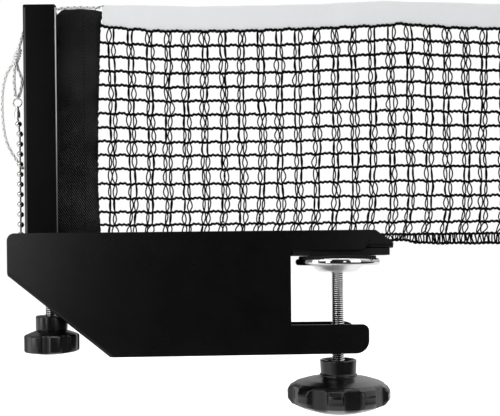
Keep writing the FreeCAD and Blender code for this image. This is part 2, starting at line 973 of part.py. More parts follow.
def make_height_clip():
    """Ring that keeps the journal in the post's foot."""
    piece = body("height_clip", x="height_place", z=f"{FOOT_TOP} + shoulder_gap")
    plan = sketch(piece, "XY_Plane")
    ring(plan, "0", "0", "clip_radius")
    ring(plan, "0", "0", "journal_radius")
    pad(piece, plan, "clip_thick")


def make_height_knob():
    piece = body("height_knob", x="height_place")
    profile = sketch(piece, "XZ_Plane")
    collar_foot = "small_top - small_collar_high"
    dome_top = f"{collar_foot} - small_groove_high"
    rim_top = f"{dome_top} - small_dome"
    rim_foot = f"{rim_top} - small_rim"
    bore = "(height_radius + thread_clear)"
    outline(
        profile,
        [
            (bore, "small_top"),
            ("small_collar - small_bevel / 2", "small_top"),
            ("small_collar", "small_top - small_bevel / 2"),
            ("small_collar", collar_foot),
            ("small_groove", f"{collar_foot} - small_groove_high / 2"),
            ("small_shoulder", dome_top),
            ("small_radius - small_bevel", rim_top),
            ("small_radius", f"{rim_top} - small_bevel"),
            ("small_radius", f"{rim_foot} + small_bevel"),
            ("small_radius - small_bevel", rim_foot),
            ("0", f"{rim_foot} - small_belly"),
            ("0", "height_foot - thread_clear"),
            (bore, "height_foot - thread_clear"),
        ],
    )
    spin(piece, profile)
    scalloped(
        piece,
        "small_radius",
        "small_scallop_deep",
        "small_scallop_round",
        "small_scallops",
        "0",
    )


def make_net_sleeve():
    """End sleeve of the net: a pocket on the rod and a flat band to the mesh."""
    piece = body("net_sleeve")
    band = sketch(piece, "XZ_Plane", "-net_plane")
    start = "rod_place + hanger_side + rod_clear"
    outline(
        band,
        [
            (start, "sleeve_foot"),
            ("sleeve_edge", "sleeve_foot"),
            ("sleeve_edge", "sleeve_top - sleeve_notch / 2"),
            (f"{start} + sleeve_notch", "sleeve_top", "sleeve_notch"),
            (start, "sleeve_top - sleeve_notch"),
        ],
    )
    pad(piece, band, "sleeve_thick", "Symmetric")
    pocket = sketch(piece, "XY_Plane", "sleeve_foot")
    ring(pocket, "rod_place", "net_plane", "sleeve_pocket")
    ring(pocket, "rod_place", "net_plane", "rod_radius + 2 * rod_clear")
    pad(piece, pocket, "sleeve_pocket_top - sleeve_foot")


def make_band(label, start, end, foot, top, thick):
    """A flat upright band of the net."""
    piece = body(label)
    side = sketch(piece, "XZ_Plane", "-net_plane")
    outline(side, [(start, foot), (end, foot), (end, top), (start, top)])
    pad(piece, side, thick, "Symmetric")


def rectangle(left, low, right, high, depth):
    corners = [V(left, depth, low), V(right, depth, low), V(right, depth, high), V(left, depth, high)]
    return Part.makePolygon(corners + corners[:1])


def make_net_mesh():
    """The mesh as one holed face: a narrow first column, then even columns between double strands."""
    foot, top = number(HEM_TOP), number("tape_foot")
    start, end = number("sleeve_edge"), number(NET_END)
    first, pitch = number("mesh_first"), number("mesh_pitch")
    strand, thread = number("mesh_strand"), number("mesh_thread")
    rows = round(number("mesh_rows"))
    row_pitch = (top - foot) / rows
    depth = number("net_plane - mesh_thick / 2")
    columns = [(start + thread, first - strand / 2)]
    for column in range(round(number("mesh_columns"))):
        left = first + column * pitch
        columns.append((left + strand / 2, left + pitch - strand / 2))
    wires = [rectangle(start, foot, end, top, depth)]
    for left, right in columns:
        for row in range(rows):
            low = foot + row * row_pitch
            wires.append(rectangle(left, low + thread / 2, right, low + row_pitch - thread / 2, depth))
    face = Part.makeFace(wires, "Part::FaceMakerBullseye")
    solid("net_mesh", face.extrude(V(0, number("mesh_thick"), 0)))


# Routes of the cord, which hangs in bends chosen by eye: from the tape over the end sleeve,
# through the post's outer wall and down to the ring, then back up to a knot and down as a loose end.
DRAW_ROUTE = [
    (-114.7, -4.0, 153.2),
    (-125.0, -4.0, 153.7),
    (-136.0, -3.8, 153.6),
    (-147.5, -2.2, 152.3),
    (-159.2, -0.3, 148.0),
    (-163.5, 0.8, 141.4),
    (-164.8, 1.4, 131.0),
    (-164.2, 1.5, 120.0),
    (-165.0, 1.3, 109.0),
    (-165.6, 0.9, 100.7),
]
LOOP_ROUTE = [(-166.8, -1.7, 100.3), (-168.2, -2.6, 108.0), (-167.2, -3.1, 117.0), (-166.3, -3.1, 124.3)]
TAIL_ROUTE = [
    (-167.0, -0.9, 124.8),
    (-170.0, -1.0, 119.6),
    (-174.2, -1.2, 112.6),
    (-176.3, -1.2, 101.0),
    (-176.4, -0.6, 88.0),
    (-175.4, 0.6, 75.0),
    (-172.2, 2.2, 66.0),
    (-167.0, 3.7, 58.2),
]
KNOT_PLACE = (-166.2, -2.1, 125.6)
END_KNOT_PLACE = (-166.4, 4.3, 56.8)
HITCH_PLACE = (-166.1, -0.4, 99.9)


def cord_path(route):
    """Straight runs joined by arcs that touch them, each as large as its two runs allow."""
    points = [V(*p) for p in route]
    edges, at, smallest = [], points[0], math.inf
    for before, corner, after in zip(points, points[1:], points[2:]):
        come, go = corner - before, after - corner
        bend = come.getAngle(go)
        back = 0.45 * min(come.Length, go.Length)
        smallest = min(smallest, back / math.tan(bend / 2))
        come.normalize()
        go.normalize()
        enter, leave = corner - come * back, corner + go * back
        bulge = (go - come).normalize()
        reach = back / math.sin(bend / 2) * (1 / math.cos(bend / 2) - 1) * math.cos(bend / 2)
        middle = corner + bulge * reach
        edges.append(Part.LineSegment(at, enter).toShape())
        edges.append(Part.Arc(enter, middle, leave).toShape())
        at = leave
    edges.append(Part.LineSegment(at, points[-1]).toShape())
    return Part.Wire(edges), smallest


def make_cord(label, route):
    path, smallest = cord_path(route)
    radius = number("cord_radius")
    start = V(*route[1]) - V(*route[0])
    circle = Part.makeCircle(radius, V(*route[0]), start)
    shape = path.makePipeShell([Part.Wire(circle)], True, False)
    expected = math.pi * radius**2 * path.Length
    print(f"{label}: {path.Length:.1f} mm long, smallest radius {smallest:.1f} mm,",
          f"volume {shape.Volume / expected:.3f} of section times length")
    solid(label, shape)


def make_knot(label, place, radius):
    """A pulled-tight knot, turned as a small barrel."""
    piece = body(label)
    piece.Placement.Base = V(*place)
    profile = sketch(piece, "XZ_Plane")
    outline(
        profile,
        [
            ("0", f"-{radius}"),
            (f"{radius} / 2", f"-{radius}"),
            (radius, f"-{radius} / 2"),
            (radius, f"{radius} / 2"),
            (f"{radius} / 2", radius),
            ("0", radius),
        ],
    )
    spin(piece, profile)


def make_bracket():
    make_front_plate()
    make_rear_plate()
    make_jaw_channel()
    make_jaw_pad()
    make_edge_stop()
    make_arm_channel()
    make_clamp_nut()
    make_height_block()
    outer_face = f"{POST_OUTER} - guide_clear"
    inner_face = f"{POST_INNER} + guide_clear"
    make_post_guide("post_guide_outer", outer_face, "guide_outer_foot", "guide_outer_top", "-")
    make_post_guide("post_guide_inner", inner_face, "block_top - block_high", "guide_inner_top", "+")


def make_post_assembly():
    make_post()
    make_post_foot()
    make_rod_hanger()
    make_net_rod()
    make_chain_catch()
    make_ball_chain()
    make_bell_coupling()
    make_cord_ring()
    make_cord("draw_cord", DRAW_ROUTE)
    make_cord("loop_cord", LOOP_ROUTE)
    make_cord("tail_cord", TAIL_ROUTE)
    make_knot("cord_knot", KNOT_PLACE, "knot_radius")
    make_knot("end_knot", END_KNOT_PLACE, "end_knot_radius")
    make_knot("ring_hitch", HITCH_PLACE, "hitch_radius")
    make_net_sleeve()
    make_net_mesh()
    make_band("net_tape", "sleeve_edge", NET_END, "tape_foot", TAPE_TOP, "tape_thick")
    make_band("net_hem", "sleeve_edge", NET_END, "hem_foot", HEM_TOP, "hem_thick")
    far_end = f"{NET_END} + far_sleeve_wide"
    make_band("far_sleeve", NET_END, far_end, "hem_foot", TAPE_TOP, "far_sleeve_thick")


def make_screws():
    make_height_screw()
    make_height_clip()
    make_height_knob()
    make_pressure_disc()
    make_disc_pad()
    make_swivel_cup()
    make_clamp_screw()
    make_clamp_insert()
    make_clamp_knob()


def check():
    for item in doc.Objects:
        if {"Invalid", "Error"} & set(item.State):
            raise RuntimeError(f"{item.Label} failed: {item.State}")
    for piece in pieces:
        if piece.Shape.isNull() or not piece.Shape.isValid() or not piece.Shape.Solids:
            raise RuntimeError(f"{piece.Label} has no valid solid")


make_bracket()
make_post_assembly()
make_screws()
doc.recompute()
check()
os.makedirs("parts", exist_ok=True)
for piece in pieces:
    piece.Shape.exportStep(f"parts/{piece.Label}.step")
print(f"{len(pieces)} pieces written")
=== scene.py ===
import math
import random

import bmesh
import bpy
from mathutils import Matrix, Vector


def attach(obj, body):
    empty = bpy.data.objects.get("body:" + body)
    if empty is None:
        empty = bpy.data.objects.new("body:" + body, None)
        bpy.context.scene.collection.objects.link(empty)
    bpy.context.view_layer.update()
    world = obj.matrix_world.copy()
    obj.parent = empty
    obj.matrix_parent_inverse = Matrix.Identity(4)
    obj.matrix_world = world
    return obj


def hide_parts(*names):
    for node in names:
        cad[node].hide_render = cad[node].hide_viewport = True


# Looks of a table tennis net clamp. The pieces below are laid out in millimetres in the frame
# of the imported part: Z = 0 is the playing surface, -Y is the side that the photograph shows.

MM = 0.001
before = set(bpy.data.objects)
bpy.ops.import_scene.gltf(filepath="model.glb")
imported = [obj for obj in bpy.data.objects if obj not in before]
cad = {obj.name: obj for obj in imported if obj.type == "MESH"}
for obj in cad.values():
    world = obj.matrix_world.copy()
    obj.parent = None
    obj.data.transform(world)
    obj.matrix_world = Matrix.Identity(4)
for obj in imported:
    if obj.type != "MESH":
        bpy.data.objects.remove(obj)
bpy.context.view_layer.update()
chance = random.Random(11)
TURN = 2 * math.pi

PHOTO_WIDTH = 500
PHOTO_FOCAL = 725
PHOTO_HORIZON = 57
PHOTO_ROLL = math.radians(0.6)
CAMERA_PLACE = (-24.5, -448, -5.3)
FLOOR = -131.0

NET_PLANE = -4.0
NET_END = 131.5
NET_FIRST = -107.9
NET_PITCH = 11.4
NET_COLUMNS = 21
HEM_TOP = 12.9
ROW_SHARES = [0, 0.068, 0.135, 0.203, 0.271, 0.339, 0.407, 0.475, 0.541, 0.607, 0.674, 0.746,
              0.816, 0.882, 0.944, 1]

SCREW_X = 29.4
HEIGHT_X = -147.35
POST_EDGE = -140.1
POST_WIDE = 20.4
POST_FRONT = -10.7
POST_BEND = 2.0
CHAIN_X = -165.8
SLEEVE_FOOT = 11.4
CLOTH_THICK = 0.3
ROD_X = -143.4

THREAD_PITCH = 1.25
CLAMP_ROOT, CLAMP_CREST = 3.2, 4.0
HEIGHT_ROOT, HEIGHT_CREST = 3.35, 3.9


# materials

def add_node(tree, kind, **values):
    """A new node. Each value is one of its inputs by name, or one of its settings."""
    made = tree.nodes.new(kind)
    for name, value in values.items():
        if name in made.inputs:
            made.inputs[name].default_value = value
        else:
            setattr(made, name, value)
    return made


def start_material(name, roughness, metallic=0.0, **shader):
    made = bpy.data.materials.new(name)
    made.use_nodes = True
    tree = made.node_tree
    surface = tree.nodes["Principled BSDF"]
    surface.inputs["Roughness"].default_value = roughness
    surface.inputs["Metallic"].default_value = metallic
    for key, value in shader.items():
        surface.inputs[key.replace("_", " ")].default_value = value
    place = add_node(tree, "ShaderNodeTexCoord").outputs["Object"]
    return made, tree, surface, place


def noise(tree, place, per_metre, detail=3.0):
    made = add_node(tree, "ShaderNodeTexNoise", Scale=per_metre, Detail=detail)
    tree.links.new(place, made.inputs["Vector"])
    return made.outputs["Fac"]


def wave(tree, place, direction, period):
    """A wave from -1 to 1 that runs along a direction."""
    along = Vector(direction).normalized() * (TURN / (period * MM))
    dot = add_node(tree, "ShaderNodeVectorMath", operation="DOT_PRODUCT")
    dot.inputs[1].default_value = along
    tree.links.new(place, dot.inputs[0])
    made = add_node(tree, "ShaderNodeMath", operation="SINE")
    tree.links.new(dot.outputs["Value"], made.inputs[0])
    return made.outputs["Value"]


def combine(tree, operation, first, second):
    made = add_node(tree, "ShaderNodeMath", operation=operation)
    for socket, value in zip(made.inputs, (first, second)):
        if isinstance(value, (int, float)):
            socket.default_value = value
        else:
            tree.links.new(value, socket)
    return made.outputs["Value"]


def spread(tree, value, low, high, start=0.0, end=1.0):
    """A value from start to end, carried over to the range from low to high."""
    made = add_node(tree, "ShaderNodeMapRange")
    for name, limit in (("From Min", start), ("From Max", end), ("To Min", low), ("To Max", high)):
        made.inputs[name].default_value = limit
    tree.links.new(value, made.inputs["Value"])
    return made.outputs["Result"]


def colour_between(tree, value, stops):
    """A colour ramp through (position, (r, g, b)) stops."""
    ramp = add_node(tree, "ShaderNodeValToRGB")
    marks = ramp.color_ramp.elements
    while len(marks) < len(stops):
        marks.new(0.5)
    for mark, (position, colour) in zip(marks, stops):
        mark.position = position
        mark.color = (*colour, 1)
    tree.links.new(value, ramp.inputs["Fac"])
    return ramp.outputs["Color"]


def mixed(tree, share, first, second):
    """One shader or another, as a share from 0 to 1 says."""
    made = add_node(tree, "ShaderNodeMixShader")
    for socket, value in zip(made.inputs, (share, first, second)):
        tree.links.new(value, socket)
    return made.outputs["Shader"]


def add_relief(tree, surface, height, distance, strength):
    relief = add_node(tree, "ShaderNodeBump", Strength=strength, Distance=distance * MM)
    tree.links.new(height, relief.inputs["Height"])
    tree.links.new(relief.outputs["Normal"], surface.inputs["Normal"])


def grained(name, dark, light, rough, grain, patch=60, relief=0.02, strength=0.3, **shader):
    """A plain finish with a fine grain, and cloudy changes of colour and gloss."""
    made, tree, surface, place = start_material(name, rough[0], **shader)
    cloud = noise(tree, place, patch)
    colour = colour_between(tree, cloud, [(0.3, dark), (0.7, light)])
    tree.links.new(colour, surface.inputs["Base Color"])
    tree.links.new(spread(tree, noise(tree, place, patch * 5), *rough), surface.inputs["Roughness"])
    add_relief(tree, surface, noise(tree, place, grain), relief, strength)
    return made


def woven(name, dark, light, waves, period, rough, relief, strength, patch=90, low=0.0, **shader):
    """Cloth whose threads follow the product of waves along the given directions."""
    made, tree, surface, place = start_material(name, rough, **shader)
    threads = wave(tree, place, waves[0], period)
    for direction in waves[1:]:
        threads = combine(tree, "MULTIPLY", threads, wave(tree, place, direction, period))
    half = combine(tree, "MULTIPLY_ADD", threads, 0.5)
    half.node.inputs[2].default_value = 0.5
    uneven = combine(tree, "MULTIPLY", half, spread(tree, noise(tree, place, 1200), 0.3, 1.1))
    cloud = combine(tree, "MULTIPLY", uneven, spread(tree, noise(tree, place, patch), 0.6, 1.1))
    tree.links.new(
        colour_between(tree, cloud, [(low, dark), (0.9, light)]), surface.inputs["Base Color"]
    )
    add_relief(tree, surface, uneven, relief, strength)
    return made


def grey(level):
    return (level, level, level)


def grooved(name, x, root, crest):
    """Plated thread about an upright axis, with painted shade down in its grooves."""
    made, tree, surface, place = start_material(name, 0.2, metallic=1.0)
    aside = add_node(tree, "ShaderNodeVectorMath", operation="MULTIPLY_ADD")
    aside.inputs[1].default_value = (1, 1, 0)
    aside.inputs[2].default_value = (-x * MM, 0, 0)
    tree.links.new(place, aside.inputs[0])
    out = add_node(tree, "ShaderNodeVectorMath", operation="LENGTH")
    tree.links.new(aside.outputs["Vector"], out.inputs[0])
    depth = spread(tree, out.outputs["Value"], 0.0, 1.0, root * MM, crest * MM)
    # Painted shade: near black at the thread's root radius, bright at its crests.
    stops = [(0.0, grey(0.01)), (0.4, grey(0.02)), (0.62, grey(0.85)), (1.0, grey(0.95))]
    tree.links.new(colour_between(tree, depth, stops), surface.inputs["Base Color"])
    return made


def painted_highlight_by_height(name, stops):
    """A painted highlight along an upright edge, with a grey for each share of its height."""
    made, tree, surface, place = start_material(name, 0.5)
    parts = add_node(tree, "ShaderNodeSeparateXYZ")
    tree.links.new(place, parts.inputs["Vector"])
    height = spread(tree, parts.outputs["Z"], 0.0, 1.0, end=0.15)
    uneven = combine(tree, "MULTIPLY", height, spread(tree, noise(tree, place, 300), 0.75, 1.1))
    tree.links.new(colour_between(tree, uneven, stops), surface.inputs["Base Color"])
    return made


POWDER = grained("powder_coat_look", grey(0.002), grey(0.0034), (0.22, 0.3), 2600,
                 relief=0.02, strength=0.1, Specular_IOR_Level=0.25)
# The post's coat is a darker, duller copy of the plates' powder coat: painted shade.
POST_COAT = grained("post_coat_look", grey(0.001), grey(0.002), (0.2, 0.28), 2600,
                    relief=0.02, strength=0.1, Specular_IOR_Level=0.04)
# Painted shade: a darker, duller copy of the powder coat for the parts between the plates.
PAINTED_SHADE_COAT = grained("painted_shade_coat_look", grey(0.001), grey(0.002), (0.5, 0.6), 2600,
                      relief=0.02, strength=0.1, Specular_IOR_Level=0.0)
# Painted sheen on the post's rounded corner: greys that lighten towards the bottom.
PAINTED_CORNER_SHEEN = painted_highlight_by_height("painted_corner_sheen_look", [(0.0, grey(0.05)), (0.4, grey(0.022)), (1.0, grey(0.006))])
# Painted highlight on the post's front edge: greys that brighten towards the top.
PAINTED_EDGE_GLINT = painted_highlight_by_height("painted_edge_glint_look", [
    (0.1, grey(0.04)), (0.3, grey(0.12)), (0.45, grey(0.26)), (0.6, grey(0.4)), (1.0, grey(0.55)),
])
RUBBER = grained("rubber_look", grey(0.005), grey(0.009), (0.62, 0.78), 1800, relief=0.05,
                 Specular_IOR_Level=0.2)
PLASTIC = grained("knob_plastic_look", grey(0.003), grey(0.005), (0.18, 0.26), 1500,
                  relief=0.01, strength=0.1, Specular_IOR_Level=0.5)
# Both screw threads carry painted shade in their grooves.
THREAD = grooved("chrome_thread_look", SCREW_X, CLAMP_ROOT, CLAMP_CREST)
HEIGHT_THREAD = grooved("zinc_thread_look", HEIGHT_X, HEIGHT_ROOT, HEIGHT_CREST)
CHROME = grained("chrome_look", grey(0.72), grey(0.78), (0.05, 0.11), 900, relief=0.004,
                 strength=0.1, metallic=1.0)
SATIN = grained("satin_chrome_look", grey(0.92), grey(0.97), (0.36, 0.44), 900, relief=0.004,
                strength=0.1, metallic=1.0)
NICKEL = grained("nickel_look", (0.62, 0.61, 0.59), (0.7, 0.69, 0.67), (0.1, 0.2), 1500,
                 relief=0.006, strength=0.15, metallic=1.0)
STEEL = grained("zinc_look", (0.42, 0.42, 0.43), (0.56, 0.56, 0.57), (0.28, 0.42), 2200,
                relief=0.01, strength=0.2, metallic=1.0)
# The links get a far darker grey than the beads' nickel: painted shade between the beads.
LINK = grained("chain_link_look", grey(0.1), grey(0.16), (0.3, 0.4), 1500, relief=0.006,
               strength=0.15, metallic=1.0)
YARN = grained("yarn_look", grey(0.0015), grey(0.005), (0.75, 0.9), 5200, patch=700, relief=0.12,
               strength=0.6, Specular_IOR_Level=0.05)
TWILL = woven("twill_look", grey(0.0008), grey(0.14), [(1, 0, 0.67)], 1.15, 0.85, 0.1, 0.7,
              low=0.42, Specular_IOR_Level=0.03)
TAPE = woven("tape_look", (0.62, 0.63, 0.64), (0.83, 0.835, 0.84), [(1, 0, 0), (0, 0, 1)], 0.62,
             0.8, 0.05, 0.5, patch=35)
BRAID = grained("braid_look", (0.74, 0.74, 0.73), (0.9, 0.9, 0.89), (0.7, 0.85), 4200,
                patch=500, relief=0.1, strength=0.5)
# Painted shade for the gaps between a braid's yarns: darker on the taut cords, paler on the tail.
BRAID_GAP_SHADE = grained("braid_gap_painted_shade_look", grey(0.1), grey(0.2), (0.8, 0.9), 4200, patch=500,
                    relief=0.1, strength=0.5)
PALE_GAP_SHADE = grained("braid_pale_gap_painted_shade_look", grey(0.35), grey(0.5), (0.8, 0.9), 4200, patch=500,
                   relief=0.1, strength=0.5)


# shapes

def piece(name, shape, body, look, stands_for=()):
    """A mesh object from vertices in millimetres, which rides on a body."""
    verts, faces = shape
    mesh = bpy.data.meshes.new(name)
    mesh.from_pydata([tuple(c * MM for c in v) for v in verts], [], faces)
    edit = bmesh.new()
    edit.from_mesh(mesh)
    bmesh.ops.remove_doubles(edit, verts=edit.verts, dist=0.002 * MM)
    bmesh.ops.recalc_face_normals(edit, faces=edit.faces)
    edit.to_mesh(mesh)
    edit.free()
    return place_mesh(name, mesh, body, look, stands_for)


def place_mesh(name, mesh, body, look, stands_for):
    mesh.materials.clear()
    mesh.materials.append(look)
    mesh.polygons.foreach_set("use_smooth", [True] * len(mesh.polygons))
    mesh.update()
    made = bpy.data.objects.new(name, mesh)
    bpy.context.scene.collection.objects.link(made)
    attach(made, body)
    if stands_for:
        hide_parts(*stands_for)
    return made


def softened(name, node, body, look, width):
    """A sheet-metal node again, with its sharp edges broken."""
    edit = bmesh.new()
    edit.from_mesh(cad[node].data)
    bmesh.ops.remove_doubles(edit, verts=edit.verts, dist=0.002 * MM)
    bmesh.ops.dissolve_limit(edit, angle_limit=math.radians(1), verts=edit.verts, edges=edit.edges)
    sharp = [
        e for e in edit.edges
        if len(e.link_faces) == 2 and e.calc_face_angle(0) > math.radians(35)
    ]
    bmesh.ops.bevel(edit, geom=sharp, offset=width * MM, segments=3, profile=0.5,
                    affect="EDGES", clamp_overlap=True)
    mesh = bpy.data.meshes.new(name)
    edit.to_mesh(mesh)
    edit.free()
    made = place_mesh(name, mesh, body, look, (node,))
    for face in mesh.polygons:
        face.use_smooth = face.area < 3 * MM**2
    return made


def sheet_of(rows, wrap_rows=False, wrap_columns=False):
    """Vertices and faces of a net of points, given row by row."""
    high, wide = len(rows), len(rows[0])
    verts = [v for row in rows for v in row]
    faces = []
    for i in range(high if wrap_rows else high - 1):
        for j in range(wide if wrap_columns else wide - 1):
            k, m = (i + 1) % high, (j + 1) % wide
            faces.append((i * wide + j, i * wide + m, k * wide + m, k * wide + j))
    return verts, faces


def closed(rows):
    """A tube through rows of points, with a cap on its first and its last."""
    verts, faces = sheet_of(rows, wrap_columns=True)
    wide = len(rows[0])
    last = len(verts) - wide
    return verts, faces + [tuple(range(wide))[::-1], tuple(range(last, last + wide))]


def joined(*shapes):
    verts, faces = [], []
    for more_verts, more_faces in shapes:
        first = len(verts)
        verts += more_verts
        faces += [tuple(i + first for i in face) for face in more_faces]
    return verts, faces


def rounded(corners, steps=5):
    """A profile through corners (r, z), rounded at those that come as (r, z, radius)."""
    line = []
    for i, corner in enumerate(corners):
        here = Vector(corner[:2])
        if len(corner) == 2:
            line.append(here)
            continue
        before = Vector(corners[i - 1][:2]) - here
        after = Vector(corners[i + 1][:2]) - here
        back = corner[2] / math.tan(before.angle(after) / 2)
        back = min(back, before.length / 2, after.length / 2)
        start, end = here + before.normalized() * back, here + after.normalized() * back
        for k in range(steps + 1):
            t = k / steps
            line.append(start * (1 - t) ** 2 + here * 2 * t * (1 - t) + end * t**2)
    return line


def turned(corners, centre, segments=96, limit=None, steps=5):
    """A profile turned about an upright axis, with its radius changed by limit(r, angle)."""
    rows = []
    x, y = centre
    for r, z in rounded(corners, steps):
        row = []
        for j in range(segments):
            angle = TURN * j / segments
            reach = limit(r, angle) if limit else r
            row.append((x + reach * math.cos(angle), y + reach * math.sin(angle), z))
        rows.append(row)
    return sheet_of(rows, wrap_columns=True)


def finger_hollows(radius, deep, half, count, turn, soft):
    """Limits a knob's radius to the flat-bottomed hollows round its rim, with soft edges."""

    def limit(r, angle):
        apart = (angle - turn + math.pi / count) % (TURN / count) - math.pi / count
        share = abs(radius * math.sin(apart)) / half
        if share >= 1:
            return r
        edge = (radius - deep + deep * share**5) / math.cos(apart * (1 - share))
        near = max(0.0, 1 - abs(r - edge) / soft)
        return min(r, edge) - near**2 * soft / 4

    return limit


def threaded(x, crest, root, top, foot, segments=28):
    """A screw thread on an upright rod: a ridge that climbs one pitch in a turn."""
    pitch = THREAD_PITCH
    shares = [(0.0, root), (0.12, root), (0.42, crest), (0.58, crest), (0.88, root)]
    turns = int((top - foot) / pitch)
    rows = []
    for i in range(turns * len(shares)):
        share, radius = shares[i % len(shares)]
        level = foot + pitch * (i // len(shares) + share)
        row = []
        for j in range(segments + 1):
            z = min(level + pitch * j / segments, top)
            angle = TURN * j / segments
            row.append((x + radius * math.cos(angle), radius * math.sin(angle), z))
        rows.append(row)
    return sheet_of(rows)


def tube(points, radius, sides=6):
    """A closed strand along points. Its radius is a number, or a list with one for each point."""
    radii = radius if isinstance(radius, list) else [radius] * len(points)
    ring = [(math.cos(TURN * k / sides), math.sin(TURN * k / sides)) for k in range(sides)]
    rows, side = [], Vector((0, 1, 0))
    for i, point in enumerate(points):
        along = points[min(i + 1, len(points) - 1)] - points[max(i - 1, 0)]
        side = (side - along * side.dot(along) / along.length_squared).normalized()
        other = along.normalized().cross(side)
        rows.append([point + radii[i] * (side * c + other * s) for c, s in ring])
    return closed(rows)


def between(table, at, ease=lambda t: t):
    """Lines through a table of (place, value), straight unless ease bends them."""
    if at <= table[0][0]:
        return table[0][1]
    for (low, first), (high, last) in zip(table, table[1:]):
        if at <= high:
            return first + (last - first) * ease((at - low) / (high - low))
    return table[-1][1]


def eased(table, at):
    """As between, but with a smooth turn at each place of the table."""
    return between(table, at, lambda t: t * t * (3 - 2 * t))


# camera

def make_camera():
    lens = bpy.data.cameras.new("photo_camera")
    lens.sensor_width = 36
    lens.lens = PHOTO_FOCAL / PHOTO_WIDTH * lens.sensor_width
    lens.shift_y = PHOTO_HORIZON / PHOTO_WIDTH
    lens.clip_start = 0.01
    made = bpy.data.objects.new("photo_camera", lens)
    made.location = [c * MM for c in CAMERA_PLACE]
    made.rotation_euler = (math.pi / 2, PHOTO_ROLL, 0)
    bpy.context.scene.collection.objects.link(made)
    bpy.context.scene.camera = made


# cords, in the same places as the solids that they stand for

DRAW_ROUTE = [
    (-114.7, -4.0, 153.2),
    (-125.0, -4.0, 153.7),
    (-136.0, -3.8, 153.6),
    (-147.5, -2.2, 152.3),
    (-159.2, -0.3, 148.0),
    (-163.0, 0.6, 141.4),
    (-165.2, -0.3, 131.5),
    (-167.4, -0.9, 124.0),
    (-166.6, -0.4, 117.0),
    (-164.4, 0.9, 112.0),
    (-164.6, 1.2, 106.5),
    (-166.3, 0.9, 100.7),
]
LOOP_ROUTE = [(-167.9, -1.6, 100.3), (-168.3, -2.6, 108.0), (-167.9, -3.1, 115.0),
              (-167.4, -2.6, 121.3)]
TAIL_ROUTE = [
    (-167.0, -0.9, 124.8),
    (-170.0, -1.0, 119.6),
    (-174.2, -1.2, 112.6),
    (-176.3, -1.2, 101.0),
    (-176.4, -0.6, 88.0),
    (-175.4, 0.6, 75.0),
    (-172.2, 2.2, 66.0),
    (-167.0, 3.7, 58.2),
]
KNOT_TOP = (-165.3, -0.9, 129.6)
KNOT_FOOT = (-168.4, -1.6, 119.6)
END_KNOT_PLACE = (-166.4, 4.3, 56.8)
HITCH_PLACE = (-167.2, -0.4, 99.6)


def cord_line(route, step=0.45):
    """Points in millimetres along the smooth line that a route controls."""
    curve = bpy.data.curves.new("route", "CURVE")
    curve.dimensions = "3D"
    spline = curve.splines.new("NURBS")
    spline.points.add(len(route) - 1)
    for point, place in zip(spline.points, route):
        point.co = (*place, 1)
    spline.order_u = 3
    spline.use_endpoint_u = True
    spline.resolution_u = 40
    holder = bpy.data.objects.new("route", curve)
    bpy.context.scene.collection.objects.link(holder)
    bpy.context.view_layer.update()
    seen = holder.evaluated_get(bpy.context.evaluated_depsgraph_get())
    fine = [v.co.copy() for v in bpy.data.meshes.new_from_object(seen).vertices]
    bpy.data.objects.remove(holder)
    line, left = [fine[0]], step
    for before, after in zip(fine, fine[1:]):
        run = (after - before).length
        while run > left:
            before = before + (after - before) * (left / run)
            line.append(before)
            run, left = run - left, step
        left -= run
    return line + [fine[-1]]


def braided(line):
    """Six yarns round a line, three each way, which pass over and under each other."""
    strands, side = [], Vector((0, 1, 0))
    frames = []
    for i, point in enumerate(line):
        along = (line[min(i + 1, len(line) - 1)] - line[max(i - 1, 0)]).normalized()
        side = (side - along * side.dot(along)).normalized()
        frames.append((point, side, along.cross(side)))
    for way in (1, -1):
        for k in range(3):
            points = []
            for i, (point, side, other) in enumerate(frames):
                angle = way * TURN * i / 26 + TURN * k / 3
                out = 0.66 + 0.09 * math.cos(3 * angle * way)
                points.append(point + out * (side * math.cos(angle) + other * math.sin(angle)))
            strands.append(tube(points, 0.29, 6))
    return joined(tube(line, 0.55, 8), *strands)


def knotted(place, size, thick):
    """A small tight knot."""
    points = []
    for i in range(60):
        t = TURN * i / 60
        points.append(Vector(place) + size / 3 * Vector((
            math.sin(t) + 2 * math.sin(2 * t),
            1.1 * math.cos(t) - 2 * math.cos(2 * t),
            -1.6 * math.sin(3 * t),
        )))
    return tube(points + points[:1], thick, 8)


def wrapped(top, foot, size, thick, turns):
    """A slip knot: turns of cord wound round the line between two places."""
    top, foot = Vector(top), Vector(foot)
    along = (foot - top).normalized()
    side = Vector((0, 1, 0)).cross(along).normalized()
    other = along.cross(side)
    points = []
    for i in range(turns * 16 + 1):
        t = i / (turns * 16)
        angle = TURN * turns * t
        reach = size * (0.75 + 0.35 * math.sin(math.pi * t))
        points.append(
            top.lerp(foot, t) + reach * (side * math.cos(angle) + other * math.sin(angle))
        )
    return tube(points, thick, 8)


def darken_core(made, line, look):
    """The braid's core is painted dark, as shade in the gaps between its yarns; its faces come
    first.
    """
    made.data.materials.append(look)
    for face in made.data.polygons[:(len(line) - 1) * 8 + 2]:
        face.material_index = 1


def make_cords():
    draw, tail = cord_line(DRAW_ROUTE), cord_line(TAIL_ROUTE)
    hitch = piece("ring_hitch_knot", knotted(HITCH_PLACE, 1.0, 0.65), "post", BRAID,
                  ("ring_hitch",))
    back = cord_line(LOOP_ROUTE)
    loop = piece("loop_strand", braided(back), "post", BRAID, ("loop_cord",))
    knot = piece("cord_knot_tied", wrapped(KNOT_TOP, KNOT_FOOT, 1.35, 0.8, 6), "post",
                 BRAID, ("cord_knot",))
    end = piece("end_knot_tied", knotted(END_KNOT_PLACE, 1.0, 0.65), "post", BRAID,
                ("end_knot",))
    taut = piece("draw_cord_braid", braided(draw), "post", BRAID, ("draw_cord",))
    loose = piece("tail_cord_braid", braided(tail), "post", BRAID, ("tail_cord",))
    # Each braid's core takes painted shade for its yarn gaps.
    darken_core(taut, draw, BRAID_GAP_SHADE)
    darken_core(loop, back, BRAID_GAP_SHADE)
    darken_core(loose, tail, PALE_GAP_SHADE)


# net

